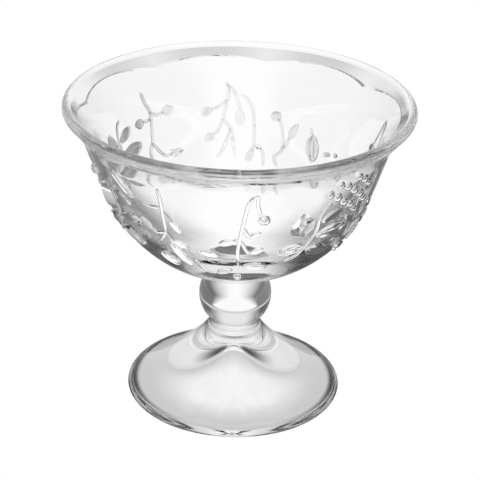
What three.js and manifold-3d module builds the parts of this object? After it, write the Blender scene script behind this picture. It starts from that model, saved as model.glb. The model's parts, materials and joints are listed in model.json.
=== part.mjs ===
// Footed dessert glass of clear pressed glass: a bowl with raised sprigs on arched panels
// under a set-back band, a ball knop and a hollow foot, welded hot at two flat round joints.
// Millimetres, +Z up. The foot stands on z = 0 and the glass turns about the Z axis.
import * as THREE from "three";
import { mergeVertices } from "three/addons/utils/BufferGeometryUtils.js";
import Module from "manifold-3d";

const wasm = await Module();
wasm.setup();

// Joints between the three pieces
const jointRadius = 7.9;

// Foot
const footRadius = 34.2;
const footHeight = 26;
const edgeWidth = 3.2;
const edgeHeight = 4.4;
const standWidth = 1.5;
const hollowDepth = 14.2;
const coneRadius = 3.5;
const coneHeight = 12.4;

// Where the foot's round edge ends on its top side, in degrees above the level
const edgeTop = 70;

// Lean of the hollow's side out of the vertical, in degrees, near its top and at the standing ring
const coneLean = 130;
const hollowLean = 112;

// Course of the foot's top side: lean out of the vertical in degrees, and how far it holds at each end
const neckLean = 0;
const skirtLean = -62;
const neckPull = 0.12;
const skirtPull = 0.46;

// Knop
const knopRadius = 11.5;

// Bowl, heights from its joint with the knop
const bowlHeight = 57.3;
const rimRadius = 54;
const wall = 3.1;
const floorThickness = 6.4;
const shoulderRadius = 9;
const shoulderHeight = 0.8;
const bellyRadius = 39.9;
const bellyHeight = 25.3;
const collarRadius = 47;
const collarHeight = 45.3;

// Lean of the bowl's side out of the vertical, in degrees
const shoulderLean = 78;
const bellyLean = 24;
const collarLean = 21;
const rimLean = 40;

// Band under the rim, set back behind the arched tops of the panels
const archCount = 8;
const archRise = 2.2;
const bandDrop = 7.4;
const bandDepth = 0.7;
const bandClear = 0.8;
const bandTurn = 12.5;

// Raised sprigs between the bowl's bottom and the band
const fieldBottom = 17;
const fieldMargin = 1.6;
const twigRadius = 0.75;
const leafRise = 0.9;
const berryRise = 1.2;

// A sprig is drawn in degrees round the bowl from its own line, and in shares of the field's height.
// A twig runs through its points, a leaf lies between two points, and a berry sits on one.
const berrySprig = {
  twigs: [
    [[-0.5, 0.06], [-1.4, 0.26], [-0.6, 0.45], [0.7, 0.67], [2.2, 0.88], [5.2, 0.97]],
    [[5.2, 0.97], [5.3, 0.85], [7, 0.71]],
    [[0.5, 0.59], [2.6, 0.48], [4, 0.47]],
    [[0, 0.42], [2, 0.3], [4.5, 0.26]],
    [[-0.8, 0.44], [-3.5, 0.41]],
  ],
  leaves: [
    { from: [3.2, 0.47], to: [7.4, 0.52], width: 1.9 },
    { from: [3.6, 0.26], to: [9.2, 0.32], width: 2.4 },
    { from: [-2.4, 0.42], to: [-9.4, 0.37], width: 2.6 },
    { from: [1, 0.09], to: [12.5, 0.07], width: 3.6 },
    { from: [-9.5, 0.21], to: [-17.5, 0.25], width: 3.2 },
  ],
  berries: [{ at: [8.2, 0.67], radius: 1.8 }],
};
const podSprig = {
  twigs: [
    [[0, 0.92], [0.4, 0.81], [0.2, 0.62], [0, 0.42]],
    [[0.3, 0.68], [3.8, 0.55]],
    [[0, 0.42], [3.2, 0.33]],
    [[-0.1, 0.41], [-4.5, 0.38], [-7.4, 0.41]],
    [[-0.2, 0.4], [-3.5, 0.3], [-7, 0.215]],
    [[0.1, 0.7], [-5.5, 0.68], [-9.6, 0.72]],
  ],
  leaves: [
    { from: [3, 0.57], to: [7.2, 0.44], width: 2.5 },
    { from: [2.6, 0.34], to: [10, 0.245], width: 2.5 },
    { from: [-6.4, 0.4], to: [-12.5, 0.51], width: 2.5 },
    { from: [1.2, 0.33], to: [8.8, 0.02], width: 3.6 },
  ],
  berries: [],
};
const leafSprig = {
  twigs: [[[-8, 0.11], [-3.3, 0.16], [0, 0.27], [3.6, 0.44], [3.6, 0.6], [5, 0.69], [7.5, 0.745]]],
  leaves: [
    { from: [-3, 0.42], to: [-3.9, 0.69], width: 6.5 },
    { from: [-0.6, 0.3], to: [-12.8, 0.23], width: 4.2 },
    { from: [0.6, 0.23], to: [15, 0.14], width: 4.8 },
    { from: [3.8, 0.37], to: [19, 0.44], width: 4.8 },
    { from: [4.6, 0.54], to: [14, 0.64], width: 3.4 },
  ],
  berries: [
    { at: [5, 0.85], radius: 1.1 },
    { at: [8, 0.9], radius: 1.1 },
    { at: [11, 0.95], radius: 1.1 },
    { at: [9, 0.79], radius: 1.1 },
    { at: [12, 0.84], radius: 1.1 },
  ],
};

const backPodSprig = {
  twigs: [
    [[-1.6, 0.91], [-0.5, 0.8], [1.1, 0.71], [0.9, 0.58], [-0.9, 0.4], [-3.1, 0.32], [-4, 0.14]],
    [[1.1, 0.7], [4, 0.66], [7.6, 0.665]],
    [[0.9, 0.63], [-1.8, 0.63], [-3.6, 0.625]],
    [[-0.9, 0.4], [4, 0.256], [8.4, 0.24]],
  ],
  leaves: [
    { from: [7.2, 0.66], to: [13, 0.7], width: 3.5 },
    { from: [-3.2, 0.625], to: [-8.5, 0.62], width: 3.4 },
    { from: [7.8, 0.24], to: [14.6, 0.26], width: 2.8 },
  ],
  berries: [],
};
const backBerrySprig = {
  twigs: [
    [[0.2, 0.9], [1.1, 0.78], [-0.4, 0.64], [-1.6, 0.53], [-3.9, 0.42], [-6, 0.385]],
    [[0.6, 0.72], [-2, 0.67], [-4.6, 0.64], [-6.6, 0.63]],
    [[-1.6, 0.53], [2.2, 0.41], [4, 0.16]],
    [[1.7, 0.43], [-1.3, 0.256], [-5.1, 0.15]],
    [[0.6, 0.87], [3.6, 0.795], [5.2, 0.71], [6.1, 0.62]],
  ],
  leaves: [
    { from: [-5.6, 0.385], to: [-10.4, 0.325], width: 3 },
    { from: [-6.2, 0.63], to: [-11.6, 0.59], width: 3.2 },
    { from: [6.1, 0.64], to: [6.3, 0.455], width: 3.2 },
  ],
  berries: [],
};
const archSprig = {
  twigs: [
    [[-5.7, 0.77], [-2.6, 0.725], [-0.3, 0.633], [0.9, 0.476], [1.2, 0.297], [0.3, 0.21]],
    [[1.2, 0.28], [4.3, 0.256], [6.4, 0.19], [7.1, 0.08]],
  ],
  leaves: [{ from: [0.6, 0.24], to: [-1.6, 0.1], width: 2.6 }],
  berries: [],
};
const ringSprig = {
  twigs: [
    [[-2.4, 0.56], [-0.9, 0.518], [0.9, 0.393], [1.5, 0.275], [0.1, 0.22], [-2, 0.18], [0.5, 0.1]],
    [[1.5, 0.28], [3, 0.316], [4, 0.39]],
    [[13.7, 0.54], [15.7, 0.46]],
  ],
  leaves: [
    { from: [3.6, 0.37], to: [7.2, 0.55], width: 2.6 },
    { from: [15.5, 0.48], to: [18.5, 0.21], width: 5.2 },
  ],
  berries: [
    { at: [-3.5, 0.585], radius: 1.8 },
    { at: [24.8, 0.33], radius: 0.8 },
    { at: [26.5, 0.342], radius: 0.8 },
    { at: [31.2, 0.364], radius: 0.8 },
  ],
};

// Each sprig with its line in degrees round the bowl, and its hand: 1 as drawn, -1 mirrored.
const placedSprigs = [
  [leafSprig, -150, 1],
  [podSprig, -119.5, 1],
  [berrySprig, -88, 1],
  [leafSprig, -60, 1],
  [podSprig, -29, 1],
  [berrySprig, 4.5, 1],
  [ringSprig, 70, -1],
  [archSprig, 84, -1],
  [backBerrySprig, 96, -1],
  [backPodSprig, 133, -1],
  [leafSprig, 159, -1],
  [berrySprig, 184.5, 1],
];

// Fineness of the facets
const roundSteps = 48;
const knopSteps = 32;
const curveSteps = 6;
const skirtSteps = 8;
const tipSteps = 2;
const flankSteps = 4;
const innerSteps = 3;
const wallLineSteps = 24;
const bandSteps = 4;
const lipSteps = 4;
const archSteps = 8;
const twigSides = 4;
const beadSides = 6;
const beadRings = 3;

// Points closer than these are one point, in a profile and in a mesh.
const profileGap = 1e-6;
const meshGap = 1e-4;

// The height of each piece follows from the ones below it.
const knopHalf = Math.sqrt(knopRadius ** 2 - jointRadius ** 2);
const knopMiddle = footHeight + knopHalf;
const bowlBase = knopMiddle + knopHalf;
const rimHeight = bowlBase + bowlHeight;

const toRadians = Math.PI / 180;

// A point of a profile: distance from the axis, height, and lean of the curve there.
function knot(radius, height, lean) {
  const way = new THREE.Vector2(Math.sin(lean * toRadians), Math.cos(lean * toRadians));
  return { at: new THREE.Vector2(radius, height), way };
}

// The same knot moved square to its lean, towards the axis.
function inset(from, distance) {
  const across = new THREE.Vector2(-from.way.y, from.way.x);
  return { at: from.at.clone().addScaledVector(across, distance), way: from.way };
}

// A smooth curve between two knots that keeps the lean of both, for a share of their distance.
function curve(from, to, startPull = 1 / 3, endPull = 1 / 3) {
  const distance = from.at.distanceTo(to.at);
  return new THREE.CubicBezierCurve(
    from.at,
    from.at.clone().addScaledVector(from.way, startPull * distance),
    to.at.clone().addScaledVector(to.way, -endPull * distance),
    to.at,
  );
}

// Part of a circle in a profile, or of an ellipse of another height, between two angles in degrees.
function arc(centre, radius, from, to, height = radius) {
  const clockwise = to < from;
  return new THREE.EllipseCurve(
    centre.x, centre.y, radius, height, from * toRadians, to * toRadians, clockwise,
  );
}

// The points of curves that follow each other, each meeting point once.
function outline(...curves) {
  const points = [];
  for (const [line, steps] of curves) {
    for (const point of line.getPoints(steps)) {
      const last = points.at(-1);
      if (!last || last.distanceTo(point) > profileGap) points.push(point);
    }
  }
  return points;
}

function spun(points, steps) {
  return new THREE.LatheGeometry(points, steps).rotateX(Math.PI / 2);
}

function solid(geometry) {
  const bare = geometry.clone();
  bare.deleteAttribute("normal");
  bare.deleteAttribute("uv");
  const merged = mergeVertices(bare, meshGap);
  return new wasm.Manifold(
    new wasm.Mesh({
      numProp: 3,
      vertProperties: merged.getAttribute("position").array,
      triVerts: new Uint32Array(merged.getIndex().array),
    }),
  );
}

function geometryOf(body) {
  const mesh = body.getMesh();
  const geometry = new THREE.BufferGeometry();
  geometry.setAttribute("position", new THREE.BufferAttribute(mesh.vertProperties, 3));
  geometry.setIndex(new THREE.BufferAttribute(mesh.triVerts, 1));
  geometry.computeVertexNormals();
  return geometry;
}

function centreOf(height) {
  return new THREE.Vector2(0, height);
}

// Foot: standing ring, round edge, concave top side up to the neck, and a cone hollow underneath.
function makeFoot() {
  const edgeHalf = edgeHeight / 2;
  const edgeCentre = new THREE.Vector2(footRadius - edgeWidth, edgeHalf);
  const standInner = new THREE.Vector2(edgeCentre.x - standWidth, 0);
  const standOuter = new THREE.Vector2(edgeCentre.x, 0);
  const skirt = knot(
    edgeCentre.x + edgeWidth * Math.cos(edgeTop * toRadians),
    edgeCentre.y + edgeHalf * Math.sin(edgeTop * toRadians),
    skirtLean,
  );
  const neck = knot(jointRadius, footHeight, neckLean);
  const hollowTop = knot(0, hollowDepth, 90);
  const cone = knot(coneRadius, coneHeight, coneLean);
  const hollowEdge = knot(standInner.x, standInner.y, hollowLean);
  const points = outline(
    [curve(hollowTop, cone), tipSteps],
    [curve(cone, hollowEdge), curveSteps],
    [new THREE.LineCurve(standInner, standOuter), 1],
    [arc(edgeCentre, edgeWidth, -90, edgeTop, edgeHalf), lipSteps],
    [curve(skirt, neck, skirtPull, neckPull), skirtSteps],
    [new THREE.LineCurve(neck.at, centreOf(footHeight)), 1],
  );
  return spun(points, roundSteps);
}

// Knop: a ball with a flat joint face above and below.
function makeKnop() {
  const cut = Math.atan2(knopHalf, jointRadius) / toRadians;
  const bottom = new THREE.Vector2(jointRadius, footHeight);
  const top = new THREE.Vector2(jointRadius, bowlBase);
  const points = outline(
    [new THREE.LineCurve(centreOf(footHeight), bottom), 1],
    [arc(centreOf(knopMiddle), knopRadius, -cut, cut), 2 * lipSteps],
    [new THREE.LineCurve(top, centreOf(bowlBase)), 1],
  );
  return spun(points, knopSteps);
}

// Knots of the bowl's outer side, from the joint to the rim.
const lipRadius = wall / 2;
const lipCentre = new THREE.Vector2(rimRadius - lipRadius, rimHeight - lipRadius);
const shoulder = knot(shoulderRadius, bowlBase + shoulderHeight, shoulderLean);
const belly = knot(bellyRadius, bowlBase + bellyHeight, bellyLean);
const collar = knot(collarRadius, bowlBase + collarHeight, collarLean);
const lip = knot(
  lipCentre.x + lipRadius * Math.cos(rimLean * toRadians),
  lipCentre.y - lipRadius * Math.sin(rimLean * toRadians),
  rimLean,
);

// A knot passed the other way, for the inner side that runs down.
function reversed(from) {
  return { at: from.at, way: from.way.clone().negate() };
}

function makeBowlWall() {
  const joint = new THREE.Vector2(jointRadius, bowlBase);
  const floor = knot(0, bowlBase + floorThickness, -90);
  const innerLip = reversed(inset(lip, wall));
  const innerCollar = reversed(inset(collar, wall));
  const innerBelly = reversed(inset(belly, wall));
  const points = outline(
    [new THREE.LineCurve(centreOf(bowlBase), joint), 1],
    [new THREE.LineCurve(joint, shoulder.at), 1],
    [curve(shoulder, belly), curveSteps],
    [curve(belly, collar), flankSteps],
    [curve(collar, lip), flankSteps],
    [arc(lipCentre, lipRadius, -rimLean, 180 - rimLean), lipSteps],
    [curve(innerLip, innerCollar), innerSteps],
    [curve(innerCollar, innerBelly), innerSteps],
    [curve(innerBelly, floor), curveSteps],
  );
  return solid(spun(points, roundSteps));
}

// Radius and lean of the bowl's outer side at a height.
const wallLine = outline(
  [curve(shoulder, belly), wallLineSteps],
  [curve(belly, collar), wallLineSteps],
  [curve(collar, lip), wallLineSteps],
);

function wallAt(height) {
  const above = wallLine.findIndex((point) => point.y >= height - profileGap);
  const [low, high] = [wallLine[above - 1], wallLine[above]];
  const share = (height - low.y) / (high.y - low.y);
  return {
    radius: low.x + share * (high.x - low.x),
    lean: Math.atan2(high.x - low.x, high.y - low.y),
  };
}

// Band: a ring cut into the wall, deepest at its lower edge, less an arch for each panel.
function makeBandCut() {
  const cuspHeight = rimHeight - bandDrop;
  const outside = [];
  const inside = [];
  for (let step = 0; step <= bandSteps; step += 1) {
    const share = step / bandSteps;
    const height = cuspHeight + share * (lip.at.y - cuspHeight);
    const { radius } = wallAt(height);
    outside.push(new THREE.Vector2(radius + bandClear, height));
    inside.unshift(new THREE.Vector2(radius - bandDepth * (1 - share), height));
  }
  let band = solid(spun([...outside, ...inside, outside[0]], roundSteps));
  const cuspRadius = outside[0].x;
  const halfPanel = Math.PI / archCount;
  const halfWidth = cuspRadius * Math.sin(halfPanel);
  const archRadius = (halfWidth ** 2 + archRise ** 2) / (2 * archRise);
  const archHalf = Math.asin(halfWidth / archRadius);
  const arch = new THREE.Shape();
  arch.moveTo(-halfWidth, -bandDrop);
  arch.lineTo(halfWidth, -bandDrop);
  arch.lineTo(halfWidth, 0);
  arch.absarc(0, archRise - archRadius, archRadius, Math.PI / 2 - archHalf, Math.PI / 2 + archHalf);
  arch.closePath();
  const cutter = new THREE.ExtrudeGeometry(arch, {
    depth: rimRadius,
    bevelEnabled: false,
    curveSegments: archSteps,
  });
  for (let panel = 0; panel < archCount; panel += 1) {
    const angle = bandTurn * toRadians + panel * 2 * halfPanel;
    const out = new THREE.Vector3(Math.cos(angle), Math.sin(angle), 0);
    const up = new THREE.Vector3(0, 0, 1);
    const along = new THREE.Vector3().crossVectors(up, out);
    const place = new THREE.Matrix4().makeBasis(along, up, out);
    place.setPosition(out.clone().multiplyScalar(bellyRadius).setZ(cuspHeight));
    band = band.subtract(solid(cutter.clone().applyMatrix4(place)));
  }
  return band;
}

// A drawn point of a sprig on the bowl's outer side, with the direction out of the wall there.
const fieldLow = bowlBase + fieldBottom;
const fieldHigh = rimHeight - bandDrop - fieldMargin;

function onWall([angle, share], turn, hand) {
  const height = fieldLow + share * (fieldHigh - fieldLow);
  const { radius, lean } = wallAt(height);
  const around = (turn + hand * angle) * toRadians;
  const flat = new THREE.Vector3(Math.cos(around), Math.sin(around), 0);
  const out = flat.clone().multiplyScalar(Math.cos(lean)).setZ(-Math.sin(lean));
  return { at: flat.multiplyScalar(radius).setZ(height), out };
}

function makeTwig(points, turn, hand) {
  const path = new THREE.CatmullRomCurve3(points.map((point) => onWall(point, turn, hand).at));
  const section = new THREE.Shape();
  section.absarc(0, 0, twigRadius, 0, 2 * Math.PI);
  return new THREE.ExtrudeGeometry(section, {
    steps: points.length - 1,
    extrudePath: path,
    curveSegments: twigSides / 2,
  });
}

// A flattened ball set half into the wall, its length along the given direction.
function makeBead(at, out, along, length, width, rise) {
  const across = new THREE.Vector3().crossVectors(out, along);
  const place = new THREE.Matrix4().makeBasis(
    along.clone().multiplyScalar(length / 2),
    across.multiplyScalar(width / 2),
    out.clone().multiplyScalar(rise),
  );
  place.setPosition(at);
  return new THREE.SphereGeometry(1, beadSides, beadRings).rotateZ(Math.PI / 2).applyMatrix4(place);
}

// A leaf lies straight between two points of the wall, so it starts as far in as the wall bulges there.
function makeLeaf(leaf, turn, hand) {
  const from = onWall(leaf.from, turn, hand);
  const to = onWall(leaf.to, turn, hand);
  const halfway = [(leaf.from[0] + leaf.to[0]) / 2, (leaf.from[1] + leaf.to[1]) / 2];
  const middle = onWall(halfway, turn, hand);
  const seat = from.at.clone().lerp(to.at, 0.5);
  const bulge = seat.distanceTo(middle.at);
  const length = from.at.distanceTo(to.at);
  const along = to.at.clone().sub(from.at).normalize();
  const out = middle.out.clone().addScaledVector(along, -middle.out.dot(along)).normalize();
  return makeBead(seat, out, along, length, leaf.width, leafRise + bulge);
}

function makeBerry(berry, turn, hand) {
  const { at, out } = onWall(berry.at, turn, hand);
  const along = new THREE.Vector3(0, 0, 1).cross(out).normalize();
  return makeBead(at, out, along, 2 * berry.radius, 2 * berry.radius, berryRise);
}

function makeSprig(sprig, turn, hand) {
  return [
    ...sprig.twigs.map((points) => makeTwig(points, turn, hand)),
    ...sprig.leaves.map((leaf) => makeLeaf(leaf, turn, hand)),
    ...sprig.berries.map((berry) => makeBerry(berry, turn, hand)),
  ];
}

function makeBowl() {
  let bowl = makeBowlWall().subtract(makeBandCut());
  const ornament = placedSprigs.flatMap(([sprig, turn, hand]) => makeSprig(sprig, turn, hand));
  for (const raised of ornament) bowl = bowl.add(solid(raised));
  return geometryOf(bowl);
}

const clearGlass = {
  color: 0xf4f7f6,
  roughness: 0.05,
  metalness: 0,
  transparent: true,
  opacity: 0.35,
};

function piece(name, geometry) {
  const mesh = new THREE.Mesh(geometry, new THREE.MeshStandardMaterial(clearGlass));
  mesh.name = name;
  return mesh;
}

const glass = new THREE.Group();
glass.name = "dessert_glass";
glass.add(piece("foot", makeFoot()));
glass.add(piece("knop", makeKnop()));
glass.add(piece("bowl", makeBowl()));

export default glass;
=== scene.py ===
import json
import math

import bmesh
import bpy
from mathutils import Matrix, Vector
from mathutils.geometry import interpolate_bezier

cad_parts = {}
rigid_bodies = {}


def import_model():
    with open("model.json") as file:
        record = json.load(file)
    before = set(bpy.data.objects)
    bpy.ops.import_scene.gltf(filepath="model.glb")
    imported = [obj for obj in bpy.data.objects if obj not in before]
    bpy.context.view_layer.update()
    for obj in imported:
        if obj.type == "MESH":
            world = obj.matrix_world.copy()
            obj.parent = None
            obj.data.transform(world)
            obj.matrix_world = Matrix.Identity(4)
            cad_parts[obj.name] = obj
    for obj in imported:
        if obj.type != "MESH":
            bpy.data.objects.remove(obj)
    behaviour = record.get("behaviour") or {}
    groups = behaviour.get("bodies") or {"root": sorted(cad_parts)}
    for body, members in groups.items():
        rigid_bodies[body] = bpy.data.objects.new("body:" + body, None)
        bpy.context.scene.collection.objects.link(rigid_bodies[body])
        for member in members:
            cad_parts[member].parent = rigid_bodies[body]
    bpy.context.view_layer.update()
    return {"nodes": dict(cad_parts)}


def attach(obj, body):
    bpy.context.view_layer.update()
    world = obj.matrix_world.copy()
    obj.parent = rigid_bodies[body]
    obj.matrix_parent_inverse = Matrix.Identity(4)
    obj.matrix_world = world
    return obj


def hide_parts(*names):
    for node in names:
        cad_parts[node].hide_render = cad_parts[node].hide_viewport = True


# Dessert glass of clear pressed glass, dressed over its CAD solids.
# Sizes are in mm, and the scene is in metres.
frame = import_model()
mm = 0.001
sameSpot = 1e-5  # mm, points of a profile nearer than this are one point
weld = 1e-7  # metres, vertices nearer than this are one vertex
print("frame loaded:", ", ".join(sorted(frame["nodes"])))


# Profiles lie in the XZ plane, where x is the distance from the axis.
def knot(radius, height, lean):
    lean = math.radians(lean)
    return Vector((radius, 0, height)), Vector((math.sin(lean), 0, math.cos(lean)))


def insetKnot(start, distance):
    point, way = start
    return point + Vector((-way.z, 0, way.x)) * distance, way


def backKnot(start):
    return start[0], -start[1]


def curveBetween(start, end, steps, startPull=1 / 3, endPull=1 / 3):
    (first, firstWay), (last, lastWay) = start, end
    reach = (last - first).length
    firstHandle = first + firstWay * reach * startPull
    lastHandle = last - lastWay * reach * endPull
    return interpolate_bezier(first, firstHandle, lastHandle, last, steps + 1)


def arcPoints(centre, radius, fromAngle, toAngle, steps, height=None):
    angles = [math.radians(fromAngle + (toAngle - fromAngle) * i / steps) for i in range(steps + 1)]
    tall = height or radius
    return [Vector((centre[0] + radius * math.cos(a), 0, centre[1] + tall * math.sin(a))) for a in angles]


def joinPoints(*runs):
    points = []
    for run in runs:
        for point in run:
            if not points or (point - points[-1]).length > sameSpot:
                points.append(point)
    return points


def spinProfile(bm, points, steps, startAngle=0, closed=False):
    verts = [bm.verts.new(point * mm) for point in points]
    edges = [bm.edges.new(pair) for pair in zip(verts, verts[1:])]
    if closed:
        edges.append(bm.edges.new((verts[-1], verts[0])))
    start = Matrix.Rotation(math.radians(startAngle), 3, "Z")
    bmesh.ops.rotate(bm, verts=verts, cent=(0, 0, 0), matrix=start)
    bmesh.ops.spin(bm, geom=verts + edges, cent=(0, 0, 0), axis=(0, 0, 1), angle=2 * math.pi,
                   steps=steps, use_merge=True)
    bmesh.ops.remove_doubles(bm, verts=bm.verts, dist=weld)
    bmesh.ops.recalc_face_normals(bm, faces=bm.faces)


def pieceFrom(bm, name, collection):
    mesh = bpy.data.meshes.new(name)
    bm.to_mesh(mesh)
    bm.free()
    piece = bpy.data.objects.new(name, mesh)
    collection.objects.link(piece)
    return piece


stageCollection = bpy.context.scene.collection

# Foot: standing ring, round edge, concave skirt, and a cone hollow underneath
foot = {"radius": 34.2, "height": 26, "edgeWidth": 3.2, "edgeHeight": 4.4, "edgeTop": 70, "stand": 1.5,
        "hollow": 14.2, "cone": (3.5, 12.4, 130), "hollowLean": 112, "joint": 7.9, "skirtLean": -62,
        "skirtPull": 0.46, "neckPull": 0.12, "around": 192, "rows": 40, "edgeRows": 20}


def makeFoot():
    edgeHalf = foot["edgeHeight"] / 2
    centre = (foot["radius"] - foot["edgeWidth"], edgeHalf)
    edge = arcPoints(centre, foot["edgeWidth"], -90, foot["edgeTop"], foot["edgeRows"], edgeHalf)
    cone = knot(*foot["cone"])
    hollowEdge = knot(centre[0] - foot["stand"], 0, foot["hollowLean"])
    tip = curveBetween(knot(0, foot["hollow"], 90), cone, foot["rows"] // 2)
    hollow = curveBetween(cone, hollowEdge, foot["rows"])
    skirtStart = edge[-1], knot(0, 0, foot["skirtLean"])[1]
    neck = knot(foot["joint"], foot["height"], 0)
    skirt = curveBetween(skirtStart, neck, foot["rows"], foot["skirtPull"], foot["neckPull"])
    bm = bmesh.new()
    spinProfile(bm, joinPoints(tip, hollow, edge, skirt, [Vector((0, 0, foot["height"]))]), foot["around"])
    return pieceFrom(bm, "glass_foot", stageCollection)


# Knop: a ball with a flat joint face above and below
knop = {"radius": 11.5, "around": 128, "rows": 48}
knop["half"] = math.sqrt(knop["radius"] ** 2 - foot["joint"] ** 2)
knop["middle"] = foot["height"] + knop["half"]


def makeKnop():
    cut = math.degrees(math.atan2(knop["half"], foot["joint"]))
    ball = arcPoints((0, knop["middle"]), knop["radius"], -cut, cut, knop["rows"])
    bottom = Vector((0, 0, foot["height"]))
    top = Vector((0, 0, knop["middle"] + knop["half"]))
    bm = bmesh.new()
    spinProfile(bm, [bottom] + ball + [top], knop["around"])
    return pieceFrom(bm, "glass_knop", stageCollection)


# Bowl: knots of its outer side as radius, height above the joint and lean in degrees
bowl = {"height": 57.3, "rim": 54, "wall": 3.1, "floor": 6.4, "rimLean": 40, "around": 288, "rows": 40,
        "shoulder": (9, 0.8, 78), "belly": (39.9, 25.3, 24), "collar": (47, 45.3, 21), "lipRows": 16,
        "measureRows": 160}
bowl["base"] = knop["middle"] + knop["half"]
bowl["top"] = bowl["base"] + bowl["height"]


def bowlKnot(key):
    radius, height, lean = bowl[key]
    return knot(radius, bowl["base"] + height, lean)


lipRadius = bowl["wall"] / 2
lipCentre = (bowl["rim"] - lipRadius, bowl["top"] - lipRadius)
lipLow = arcPoints(lipCentre, lipRadius, -bowl["rimLean"], 0, 1)[0]
shoulder, belly, collar = bowlKnot("shoulder"), bowlKnot("belly"), bowlKnot("collar")
lip = lipLow, knot(0, 0, bowl["rimLean"])[1]


def outerSide(steps):
    return joinPoints(curveBetween(shoulder, belly, steps), curveBetween(belly, collar, steps // 2),
                      curveBetween(collar, lip, steps // 2))


# Band under the rim, set back behind the arched tops of the panels, which end in a sloped ledge
band = {"arches": 8, "rise": 2.2, "drop": 7.4, "depth": 0.8, "ledge": 1.3, "clear": 0.8, "over": 0.05,
        "cuspAngle": 80, "rows": 8}


def makeBowlWall():
    joint = Vector((foot["joint"], 0, bowl["base"]))
    floor = knot(0, bowl["base"] + bowl["floor"], -90)
    innerLip, innerCollar, innerBelly = [backKnot(insetKnot(k, bowl["wall"])) for k in (lip, collar, belly)]
    rows = bowl["rows"]
    points = joinPoints(
        [Vector((0, 0, bowl["base"])), joint],
        outerSide(rows),
        arcPoints(lipCentre, lipRadius, -bowl["rimLean"], 180 - bowl["rimLean"], bowl["lipRows"]),
        curveBetween(innerLip, innerCollar, rows // 4),
        curveBetween(innerCollar, innerBelly, rows // 4),
        curveBetween(innerBelly, floor, rows // 2),
    )
    bm = bmesh.new()
    spinProfile(bm, points, bowl["around"], band["cuspAngle"])
    return pieceFrom(bm, "glass_bowl", stageCollection)


# The outer side as a line to lay ornament on: height, radius, lean and way up the wall
def measureWall():
    rows = []
    wayUp = 0
    points = outerSide(bowl["measureRows"])
    for low, high in zip(points, points[1:]):
        step = high - low
        rows.append((low.z, low.x, math.atan2(step.x, step.z), wayUp))
        wayUp += step.length
    return rows


wallRows = measureWall()
byHeight, byWay = 0, 3


def wallAt(value, column):
    low, high = 0, len(wallRows) - 1
    while high - low > 1:
        middle = (low + high) // 2
        if wallRows[middle][column] > value:
            high = middle
        else:
            low = middle
    below, above = wallRows[low], wallRows[high]
    share = (value - below[column]) / (above[column] - below[column])
    return [a + share * (b - a) for a, b in zip(below, above)]


def makeBandCut():
    cusp = bowl["top"] - band["drop"]
    ledgeShare = band["ledge"] / (lipLow.z - cusp)
    inside = [Vector((bowl["rim"] + band["over"], 0, 0))]
    for i in range(band["rows"] + 1):
        up = i / band["rows"]
        setBack = band["depth"] * (1 - up) - band["over"] * up
        inside.append(Vector((bowl["rim"] - setBack, 0, ledgeShare + (1 - ledgeShare) * up)))
    outside = [Vector((bowl["rim"] + band["clear"], 0, point.z)) for point in reversed(inside)]
    bm = bmesh.new()
    spinProfile(bm, inside + outside, bowl["around"], band["cuspAngle"], closed=True)
    panel = 2 * math.pi / band["arches"]
    for vert in bm.verts:
        angle = math.atan2(vert.co.y, vert.co.x)
        across = ((angle - math.radians(band["cuspAngle"])) % panel) / panel * 2 - 1
        low = cusp + band["rise"] * (1 - across ** 2)
        height = low + vert.co.z / mm * (lipLow.z - low)
        radius = wallAt(height, byHeight)[1] + math.hypot(vert.co.x, vert.co.y) / mm - bowl["rim"]
        vert.co = Vector((radius * math.cos(angle), radius * math.sin(angle), height)) * mm
    bmesh.ops.recalc_face_normals(bm, faces=bm.faces)
    return pieceFrom(bm, "band cut", stageCollection)


# Sprigs are drawn in degrees from their own line and in shares of the field's height.
field = {"start": 17, "margin": 1.6}
field["low"] = bowl["base"] + field["start"]
field["high"] = bowl["top"] - band["drop"] - field["margin"]
twig = {"half": 0.58, "rise": 0.6, "square": 0.7, "tip": 0.5, "taper": 3, "sides": 16, "steps": 6}
leaf = {"sink": 0.8, "long": 20, "wide": 18, "point": 0.75, "edge": 10, "end": 16, "weld": 1e-4, "podRise": 0.6,
        "broad": 3.5, "rise": 0.26, "dish": 0.65, "vein": 0.25, "veinHalf": 0.2,
        "dropRise": 1.7, "dropEnd": 4, "dropTaper": 0.45}
berry = {"rise": 1.3, "fine": 3}

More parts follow.
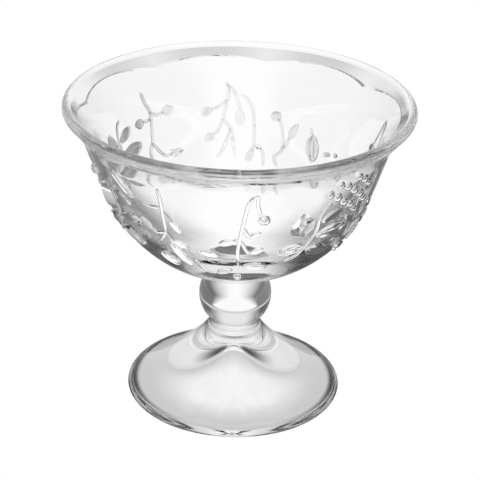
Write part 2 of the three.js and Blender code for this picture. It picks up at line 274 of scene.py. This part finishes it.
berrySprig = {
    "twigs": [
        [(-0.5, 0.06), (-1.4, 0.26), (-0.6, 0.45), (0.7, 0.67), (2.2, 0.88), (5.2, 0.97)],
        [(5.2, 0.97), (5.3, 0.85), (7, 0.71)],
        [(0.5, 0.59), (2.6, 0.48), (4, 0.47)],
        [(0, 0.42), (2, 0.3), (4.5, 0.26)],
        [(-0.8, 0.44), (-3.5, 0.41)],
    ],
    "leaves": [
        ((3.2, 0.47), (7.4, 0.52), 1.9),
        ((3.6, 0.26), (9.2, 0.32), 2.4),
        ((-2.4, 0.42), (-9.4, 0.37), 2.6),
        ((1, 0.09), (12.5, 0.07), 3.6),
        ((-9.5, 0.21), (-17.5, 0.25), 3.2),
        ((-3.6, 0.03), (-11.5, -0.05), 3.2),
    ],
    "berries": [(8.2, 0.67, 1.8), (-1, -0.1, 1.5)],
}
podSprig = {
    "twigs": [
        [(0, 0.92), (0.4, 0.81), (0.2, 0.62), (0, 0.42)],
        [(0.3, 0.68), (3.8, 0.55)],
        [(0, 0.42), (3.2, 0.33)],
        [(-0.1, 0.41), (-4.5, 0.38), (-7.4, 0.41)],
        [(-0.2, 0.4), (-3.5, 0.3), (-7, 0.215)],
        [(0.1, 0.7), (-5.5, 0.68), (-9.6, 0.72)],
        [(10.7, 0.12), (15.3, -0.03), (20.3, -0.05)],
    ],
    "leaves": [
        ((3, 0.57), (7.2, 0.44), 2.5),
        ((2.6, 0.34), (10, 0.245), 2.5),
        ((-6.4, 0.4), (-12.5, 0.51), 2.5),
        ((1.2, 0.33), (8.8, 0.02), 3.6),
        ((-6.5, 0.13), (0.8, -0.02), 4.2),
    ],
    "berries": [],
}
leafSprig = {
    "twigs": [[(-8, 0.11), (-3.3, 0.16), (0, 0.27), (3.6, 0.44), (3.6, 0.6), (5, 0.69), (7.5, 0.745)]],
    "leaves": [
        ((-3, 0.4), (-3.9, 0.7), 7.4, True),
        ((-0.6, 0.3), (-12.8, 0.23), 4.2),
        ((0.6, 0.23), (15, 0.14), 4.8),
        ((3.8, 0.37), (19, 0.44), 4.8),
        ((4.6, 0.54), (14, 0.64), 3.4),
    ],
    "berries": [
        (5, 0.86, 1.5), (8.6, 0.95, 1.4), (9.4, 0.8, 1.6), (13, 0.9, 1.5), (13.6, 0.72, 1.5),
        (17, 0.98, 1.4), (17.8, 0.82, 1.6), (18, 0.66, 1.4), (21.8, 0.91, 1.5), (22.4, 0.74, 1.6),
        (26, 0.83, 1.4), (26.4, 0.65, 1.4), (22, 0.57, 1.2),
    ],
}
bareSprig = {**leafSprig, "berries": []}
longSprig = {
    **bareSprig,
    "leaves": leafSprig["leaves"] + [((8.6, 0.95), (17.4, 0.7), 3.6), ((5.6, 0.69), (14.5, 0.6), 3.2)],
}
backPodSprig = {
    "twigs": [
        [(-1.6, 0.91), (-0.5, 0.8), (1.1, 0.71), (0.9, 0.58), (-0.9, 0.4), (-3.1, 0.32), (-4, 0.14)],
        [(1.1, 0.7), (4, 0.66), (7.6, 0.665)],
        [(0.9, 0.63), (-1.8, 0.63), (-3.6, 0.625)],
        [(-0.9, 0.4), (4, 0.256), (8.4, 0.24)],
    ],
    "leaves": [
        ((7.2, 0.66), (13, 0.7), 3.5),
        ((-3.2, 0.625), (-8.5, 0.62), 3.4),
        ((7.8, 0.24), (14.6, 0.26), 2.8),
    ],
    "berries": [],
}
backBerrySprig = {
    "twigs": [
        [(0.2, 0.9), (1.1, 0.78), (-0.4, 0.64), (-1.6, 0.53), (-3.9, 0.42), (-6, 0.385)],
        [(0.6, 0.72), (-2, 0.67), (-4.6, 0.64), (-6.6, 0.63)],
        [(-1.6, 0.53), (2.2, 0.41), (4, 0.16)],
        [(1.7, 0.43), (-1.3, 0.256), (-5.1, 0.15)],
        [(0.6, 0.87), (3.6, 0.795), (5.2, 0.71), (6.1, 0.62)],
    ],
    "leaves": [
        ((-5.6, 0.385), (-10.4, 0.325), 3),
        ((-6.2, 0.63), (-11.6, 0.59), 3.2),
        ((6.1, 0.64), (6.3, 0.455), 3.2),
    ],
    "berries": [],
}
archSprig = {
    "twigs": [
        [(-5.7, 0.77), (-2.6, 0.725), (-0.3, 0.633), (0.9, 0.476), (1.2, 0.297), (0.3, 0.21)],
        [(1.2, 0.28), (4.3, 0.256), (6.4, 0.19), (7.1, 0.08)],
    ],
    "leaves": [((0.6, 0.24), (-1.6, 0.1), 2.6)],
    "berries": [],
}
ringSprig = {
    "twigs": [
        [(-2.4, 0.56), (-0.9, 0.518), (0.9, 0.393), (1.5, 0.275), (0.1, 0.22), (-2, 0.18), (0.5, 0.1)],
        [(1.5, 0.28), (3, 0.316), (4, 0.39)],
        [(13.7, 0.54), (15.7, 0.46)],
    ],
    "leaves": [
        ((3.6, 0.37), (7.2, 0.55), 2.6),
        ((15.5, 0.48), (18.5, 0.21), 5.2),
    ],
    "berries": [(-3.5, 0.585, 1.8), (24.8, 0.33, 0.8), (26.5, 0.342, 0.8), (31.2, 0.364, 0.8)],
}

# Sprig, line in degrees round the bowl, and hand: -1 draws its mirror image
placedSprigs = [
    (longSprig, -150, 1), (podSprig, -119.5, 1), (berrySprig, -88, 1), (leafSprig, -60, 1),
    (podSprig, -29, 1), (berrySprig, 4.5, 1), (ringSprig, 70, -1), (archSprig, 84, -1),
    (backBerrySprig, 96, -1), (backPodSprig, 133, -1), (bareSprig, 159, -1), (berrySprig, 184.5, 1),
]


# Ornament is modelled flat: x round the bowl, y up the wall, z out of it, all in mm.
def flatPoint(drawn):
    degrees, share = drawn
    height = field["low"] + share * (field["high"] - field["low"])
    _, radius, _, wayUp = wallAt(height, byHeight)
    return Vector((math.radians(degrees) * radius, wayUp, 0))


def layOnWall(bm, turn, hand):
    for vert in bm.verts:
        x, y, out = vert.co
        height, radius, lean, _ = wallAt(y, byWay)
        angle = math.radians(turn) + hand * x / radius
        reach = radius + out * math.cos(lean)
        level = height - out * math.sin(lean)
        vert.co = Vector((reach * math.cos(angle), reach * math.sin(angle), level)) * mm
    bmesh.ops.recalc_face_normals(bm, faces=bm.faces)


def smoothPath(points, steps):
    path = []
    last = len(points) - 1
    for i in range(last):
        before, start, end, after = [points[min(max(i + j, 0), last)] for j in (-1, 0, 1, 2)]
        startHandle = start + (end - before) / 6
        endHandle = end - (after - start) / 6
        run = interpolate_bezier(start, startHandle, endHandle, end, steps + 1)
        path += run if i == 0 else run[1:]
    return path


def makeTwig(points):
    path = smoothPath([flatPoint(point) for point in points], twig["steps"])
    bm = bmesh.new()
    placed = None
    for i, point in enumerate(path):
        ahead = path[min(i + 1, len(path) - 1)] - path[max(i - 1, 0)]
        along = ahead.normalized()
        out = Vector((0, 0, 1))
        across = out.cross(along)
        ends = min(i, len(path) - 1 - i)
        size = twig["tip"] + (1 - twig["tip"]) * min(1, ends / twig["taper"])
        turn = Matrix((across, out, along)).transposed().to_4x4()
        section = Matrix.Diagonal((twig["half"] * size, twig["rise"] * size, 1, 1))
        place = Matrix.Translation(point) @ turn @ section
        if placed is None:
            bmesh.ops.create_circle(bm, cap_ends=True, segments=twig["sides"], radius=1)
            for vert in bm.verts:
                vert.co = [math.copysign(abs(c) ** twig["square"], c) for c in vert.co]
            bmesh.ops.transform(bm, matrix=place, verts=bm.verts)
            bm.faces.ensure_lookup_table()
            front = bm.faces[0]
        else:
            made = bmesh.ops.extrude_face_region(bm, geom=[front])["geom"]
            if i > 1:
                bmesh.ops.delete(bm, geom=[front], context="FACES_ONLY")
            front = next(item for item in made if isinstance(item, bmesh.types.BMFace))
            bmesh.ops.transform(bm, matrix=place @ placed.inverted(), verts=front.verts[:])
        placed = place
    return bm


# A narrow leaf is a flat-topped pod, a broad one is dished with a vein.
# A drop has two facets, and is wider at its start.
def makeLeaf(start, end, width, drop=False):
    start, end = flatPoint(start), flatPoint(end)
    length = (end - start).length
    dish, vein, rise = 0, 0, leaf["podRise"]
    if drop:
        rise = leaf["dropRise"]
    elif width > leaf["broad"]:
        dish, vein, rise = leaf["dish"], leaf["vein"], leaf["rise"] * width
    bm = bmesh.new()
    bmesh.ops.create_grid(bm, x_segments=leaf["long"], y_segments=leaf["wide"], size=1)
    top = bmesh.ops.extrude_face_region(bm, geom=bm.faces[:])["geom"]
    raised = {item for item in top if isinstance(item, bmesh.types.BMVert)}
    for vert in bm.verts:
        along, across, _ = vert.co
        half = width / 2 * (1 - along ** 2) ** leaf["point"] * (1 - leaf["dropTaper"] * along * drop)
        side = abs(across)
        if drop:
            form = (1 - side) * (1 - along ** leaf["dropEnd"])
        else:
            form = 1 - dish * (1 - side ** 2) + vein * max(0, 1 - side / leaf["veinHalf"])
            form *= (1 - side ** leaf["edge"]) * (1 - along ** leaf["end"])
        out = rise * form if vert in raised else -leaf["sink"]
        vert.co = Vector((along * length / 2, across * half, out))
    bmesh.ops.remove_doubles(bm, verts=bm.verts, dist=leaf["weld"])
    heading = math.atan2(end.y - start.y, end.x - start.x)
    place = Matrix.Translation((start + end) / 2) @ Matrix.Rotation(heading, 4, "Z")
    bmesh.ops.transform(bm, matrix=place, verts=bm.verts)
    return bm


def makeBerry(degrees, share, radius):
    squash = Matrix.Diagonal((1, 1, berry["rise"] / radius, 1))
    place = Matrix.Translation(flatPoint((degrees, share))) @ squash
    bm = bmesh.new()
    bmesh.ops.create_icosphere(bm, subdivisions=berry["fine"], radius=radius, matrix=place)
    return bm


def makeOrnament(collection):
    for sprig, turn, hand in placedSprigs:
        bodies = [makeTwig(points) for points in sprig["twigs"]]
        bodies += [makeLeaf(*drawn) for drawn in sprig["leaves"]]
        bodies += [makeBerry(*drawn) for drawn in sprig["berries"]]
        for bm in bodies:
            layOnWall(bm, turn, hand)
            pieceFrom(bm, "ornament", collection)


def addBoolean(piece, operation):
    step = piece.modifiers.new(operation.lower(), "BOOLEAN")
    step.operation = operation
    step.solver = "MANIFOLD"
    return step


# The band is cut into the wall, and the pressed relief and the wall become one body.
def makeBowl():
    piece = makeBowlWall()
    bandCut = makeBandCut()
    relief = bpy.data.collections.new("relief")
    stageCollection.children.link(relief)
    makeOrnament(relief)
    addBoolean(piece, "DIFFERENCE").object = bandCut
    press = addBoolean(piece, "UNION")
    press.operand_type = "COLLECTION"
    press.collection = relief
    bpy.context.view_layer.update()
    pressed = bpy.data.meshes.new_from_object(piece.evaluated_get(bpy.context.evaluated_depsgraph_get()))
    pressed.name = "glass_bowl"
    piece.modifiers.clear()
    piece.data = pressed
    for body in [bandCut] + list(relief.objects):
        bpy.data.objects.remove(body)
    bpy.data.collections.remove(relief)
    return piece


def linear(hexColour):
    channels = [int(hexColour[i:i + 2], 16) / 255 for i in (1, 3, 5)]
    return [c / 12.92 if c <= 0.04045 else ((c + 0.055) / 1.055) ** 2.4 for c in channels] + [1]


def addNode(tree, kind, settings=None, links=None):
    node = tree.nodes.new(kind)
    for name, value in (settings or {}).items():
        if isinstance(name, int) or name in node.inputs:
            node.inputs[name].default_value = value
        else:
            setattr(node, name, value)
    for name, socket in (links or {}).items():
        tree.links.new(socket, node.inputs[name])
    return node


def newMaterial(name):
    material = bpy.data.materials.new(name)
    material.use_nodes = True
    material.node_tree.nodes.clear()
    return material, material.node_tree


# Colourless pressed glass: bright crests and dark outlines by refraction,
# softened by the faint waves that the mould leaves
glass = {"wave": 7, "waveHeight": 0.012, "waveDetail": 1.0, "roughness": 0.03, "refraction": 1.52}


def pressedGlass():
    material, tree = newMaterial("clear pressed soda-lime glass")
    place = addNode(tree, "ShaderNodeTexCoord").outputs["Object"]
    waves = addNode(tree, "ShaderNodeTexNoise", {
        "Scale": 1 / (glass["wave"] * mm), "Detail": glass["waveDetail"]}, {"Vector": place})
    wavy = addNode(tree, "ShaderNodeBump", {"Distance": glass["waveHeight"] * mm}, {"Height": waves.outputs[0]})
    shader = addNode(tree, "ShaderNodeBsdfPrincipled", {
        "Base Color": linear("#ffffff"), "Roughness": glass["roughness"], "IOR": glass["refraction"],
        "Transmission Weight": 1.0}, {"Normal": wavy.outputs[0]})
    addNode(tree, "ShaderNodeOutputMaterial", {}, {"Surface": shader.outputs[0]})
    return material


# Where two pieces are welded the glass runs on, so the joint faces bend no light.
def weldedJoint():
    material, tree = newMaterial("hot weld between two pieces")
    shader = addNode(tree, "ShaderNodeBsdfPrincipled", {
        "Base Color": linear("#ffffff"), "Roughness": 0.0, "IOR": 1.0, "Transmission Weight": 1.0})
    addNode(tree, "ShaderNodeOutputMaterial", {}, {"Surface": shader.outputs[0]})
    return material


glassMaterial = pressedGlass()
weldMaterial = weldedJoint()
jointHeights = [foot["height"] * mm, bowl["base"] * mm]
finish = {"level": 1e-6, "sharp": 32}


def dress(piece, node):
    piece.data.materials.clear()
    piece.data.materials.append(glassMaterial)
    piece.data.materials.append(weldMaterial)
    for face in piece.data.polygons:
        heights = [piece.data.vertices[i].co.z for i in face.vertices]
        for joint in jointHeights:
            if all(abs(height - joint) < finish["level"] for height in heights):
                face.material_index = 1
    piece.data.shade_smooth()
    piece.data.set_sharp_from_angle(angle=math.radians(finish["sharp"]))
    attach(piece, "root")
    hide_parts(node)
    print(node, "made:", len(piece.data.polygons), "faces")


dress(makeFoot(), "foot")
dress(makeKnop(), "knop")
dress(makeBowl(), "bowl")


# Camera at the photograph's view: place in mm, angles in degrees, focal length in pixels of the frame
view = {"place": (0, -523.4, 308.7), "pitch": 26.06, "yaw": 0.12, "roll": 1.48, "focal": 1850, "frame": 480,
        "sensor": 36}


def makeCamera():
    data = bpy.data.cameras.new("camera")
    data.sensor_width = view["sensor"]
    data.lens = view["focal"] * data.sensor_width / view["frame"]
    camera = bpy.data.objects.new("camera", data)
    stageCollection.objects.link(camera)
    pitch, yaw, roll = [math.radians(view[key]) for key in ("pitch", "yaw", "roll")]
    ahead = Vector((math.sin(yaw) * math.cos(pitch), math.cos(yaw) * math.cos(pitch), -math.sin(pitch)))
    level = Vector((math.cos(yaw), -math.sin(yaw), 0))
    up = level.cross(ahead)
    right = math.cos(roll) * level + math.sin(roll) * up
    above = right.cross(ahead)
    turn = Matrix((right, above, -ahead)).transposed().to_4x4()
    camera.matrix_world = Matrix.Translation(Vector(view["place"]) * mm) @ turn
    bpy.context.scene.camera = camera


makeCamera()


# Adds a row of nodes: each has a name, a kind, its settings, and the named results that it takes in.
def addNodes(tree, results, rows):
    for name, kind, settings, taken in rows:
        links = {key: results[source] for key, source in taken.items()}
        results[name] = addNode(tree, kind, settings, links).outputs[0]
    return results[rows[-1][0]]


# Settings of a soft step from one level to another
def softStep(span, levels):
    return {"interpolation_type": "SMOOTHSTEP", "From Min": span[0], "From Max": span[1],
            "To Min": levels[0], "To Max": levels[1]}


mathNode, rangeNode, mixNode = "ShaderNodeMath", "ShaderNodeMapRange", "ShaderNodeMix"

# White light table with painted light and shade: a lit strip from front to back that widens away from the
# glass, painted shade in place of dark cards left and right
table = {"radius": 3000, "around": 96, "gap": 0.1, "fade": 42, "backFrom": 80, "backSpread": 0.7, "widest": 110,
         "frontFrom": 10, "frontSpread": 3.0, "leftFront": 0.6, "leftBack": 0.2, "right": 0.14,
         "far": (300, 500), "farLight": 0.66}
# Painted shadow of the foot on the table under it, and in a ring round its edge
paintedFootShade = {"fade": (10, 27), "light": (0.92, 0.6), "ring": (28.5, 31), "ringFade": 20, "ringLight": (0.9, 0.03),
           "edge": (42, 52)}


# The camera sees the table and the studio plain white: only the glass picks up the painted shade and the lit
# strip.
def makeTable():
    bm = bmesh.new()
    bmesh.ops.create_circle(bm, cap_ends=True, segments=table["around"], radius=table["radius"] * mm)
    bmesh.ops.translate(bm, verts=bm.verts, vec=(0, 0, -table["gap"] * mm))
    floor = pieceFrom(bm, "table", stageCollection)
    material, tree = newMaterial("light table with painted shade")
    metres = addNode(tree, "ShaderNodeTexCoord").outputs["Object"]
    scaled = addNode(tree, "ShaderNodeVectorMath", {"operation": "SCALE", "Scale": 1 / mm}, {0: metres})
    place = scaled.outputs[0]
    x, y, _ = addNode(tree, "ShaderNodeSeparateXYZ", {}, {"Vector": place}).outputs
    away = addNode(tree, "ShaderNodeVectorMath", {"operation": "LENGTH"}, {0: place}).outputs["Value"]
    seen = addNode(tree, "ShaderNodeLightPath").outputs["Is Camera Ray"]
    fade = table["fade"]
    backEnd = table["backFrom"] + table["widest"] / table["backSpread"]
    frontWidest = (table["radius"] - table["frontFrom"]) * table["frontSpread"]
    glow = addNodes(tree, {"x": x, "y": y, "away": away, "seen": seen}, [
        ("aside", mathNode, {"operation": "ABSOLUTE"}, {0: "x"}),
        ("behind", rangeNode, {"From Min": table["backFrom"], "From Max": backEnd, "To Max": table["widest"]},
         {"Value": "y"}),
        ("before", rangeNode, {"From Min": -table["frontFrom"], "From Max": -table["radius"],
                               "To Max": frontWidest}, {"Value": "y"}),
        ("half", mathNode, {"operation": "ADD"}, {0: "behind", 1: "before"}),
        ("beside", mathNode, {"operation": "SUBTRACT"}, {0: "aside", 1: "half"}),
        ("lit", rangeNode, softStep((0, fade), (1, 0)), {"Value": "beside"}),
        # Painted shade of dark cards at the sides: on the left lighter in front than behind, on the right
        # evenly darker
        ("onLeft", rangeNode, softStep((-fade, 0), (1, 0)), {"Value": "x"}),
        ("left", rangeNode, softStep((-fade, fade), (table["leftFront"], table["leftBack"])), {"Value": "y"}),
        ("paintedLeftShade", mathNode, {"operation": "MULTIPLY"}, {0: "onLeft", 1: "left"}),
        ("paintedSideShade", mathNode, {"operation": "MAXIMUM", 1: table["right"]}, {0: "paintedLeftShade"}),
        ("near", mathNode, {"operation": "MAXIMUM"}, {0: "lit", 1: "paintedSideShade"}),
        ("distant", rangeNode, softStep(table["far"], (0, 1)), {"Value": "away"}),
        ("open", mixNode, {3: table["farLight"]}, {0: "distant", 2: "near"}),
        # Painted shadow of the foot: dimmer under it, and darkest in a ring at its edge except at the front and
        # back middle
        ("under", rangeNode, softStep(paintedFootShade["fade"], paintedFootShade["light"]), {"Value": "away"}),
        ("ring", rangeNode, softStep((0, paintedFootShade["ringFade"]), paintedFootShade["ringLight"]), {"Value": "aside"}),
        ("atRing", rangeNode, softStep(paintedFootShade["ring"], (0, 1)), {"Value": "away"}),
        ("paintedFootShadow", mixNode, {}, {0: "atRing", 2: "under", 3: "ring"}),
        ("outside", rangeNode, softStep(paintedFootShade["edge"], (0, 1)), {"Value": "away"}),
        ("light", mixNode, {}, {0: "outside", 2: "paintedFootShadow", 3: "open"}),
        ("glow", mathNode, {"operation": "MAXIMUM"}, {0: "light", 1: "seen"}),
    ])
    shader = addNode(tree, "ShaderNodeEmission", {"Color": linear("#ffffff")}, {"Strength": glow})
    addNode(tree, "ShaderNodeOutputMaterial", {}, {"Surface": shader.outputs[0]})
    floor.data.materials.append(material)


# Studio round the table: soft light behind, in front and overhead, dark at both sides
studio = {"lit": (0.22, 0.7), "light": 0.85, "side": 0.05, "overhead": (0.75, 0.92), "top": 0.9}


def makeWorld():
    world = bpy.data.worlds.new("studio")
    bpy.context.scene.world = world
    world.use_nodes = True
    tree = world.node_tree
    tree.nodes.clear()
    place = addNode(tree, "ShaderNodeTexCoord").outputs["Generated"]
    x, _, z = addNode(tree, "ShaderNodeSeparateXYZ", {}, {"Vector": place}).outputs
    seen = addNode(tree, "ShaderNodeLightPath").outputs["Is Camera Ray"]
    glow = addNodes(tree, {"x": x, "z": z, "seen": seen}, [
        ("aside", mathNode, {"operation": "ABSOLUTE"}, {0: "x"}),
        ("sides", rangeNode, softStep(studio["lit"], (studio["light"], studio["side"])), {"Value": "aside"}),
        ("above", rangeNode, softStep(studio["overhead"], (0, studio["top"])), {"Value": "z"}),
        ("light", mathNode, {"operation": "MAXIMUM"}, {0: "sides", 1: "above"}),
        ("glow", mathNode, {"operation": "MAXIMUM"}, {0: "light", 1: "seen"}),
    ])
    shine = addNode(tree, "ShaderNodeBackground", {"Color": linear("#ffffff")}, {"Strength": glow})
    addNode(tree, "ShaderNodeOutputWorld", {}, {"Surface": shine.outputs[0]})


makeTable()
makeWorld()
scene = bpy.context.scene
scene.view_settings.view_transform = "Standard"
bounces = 96  # light stays long in thick clear glass
scene.cycles.max_bounces = bounces
scene.cycles.transmission_bounces = bounces
scene.cycles.glossy_bounces = bounces
print("stage and camera set")
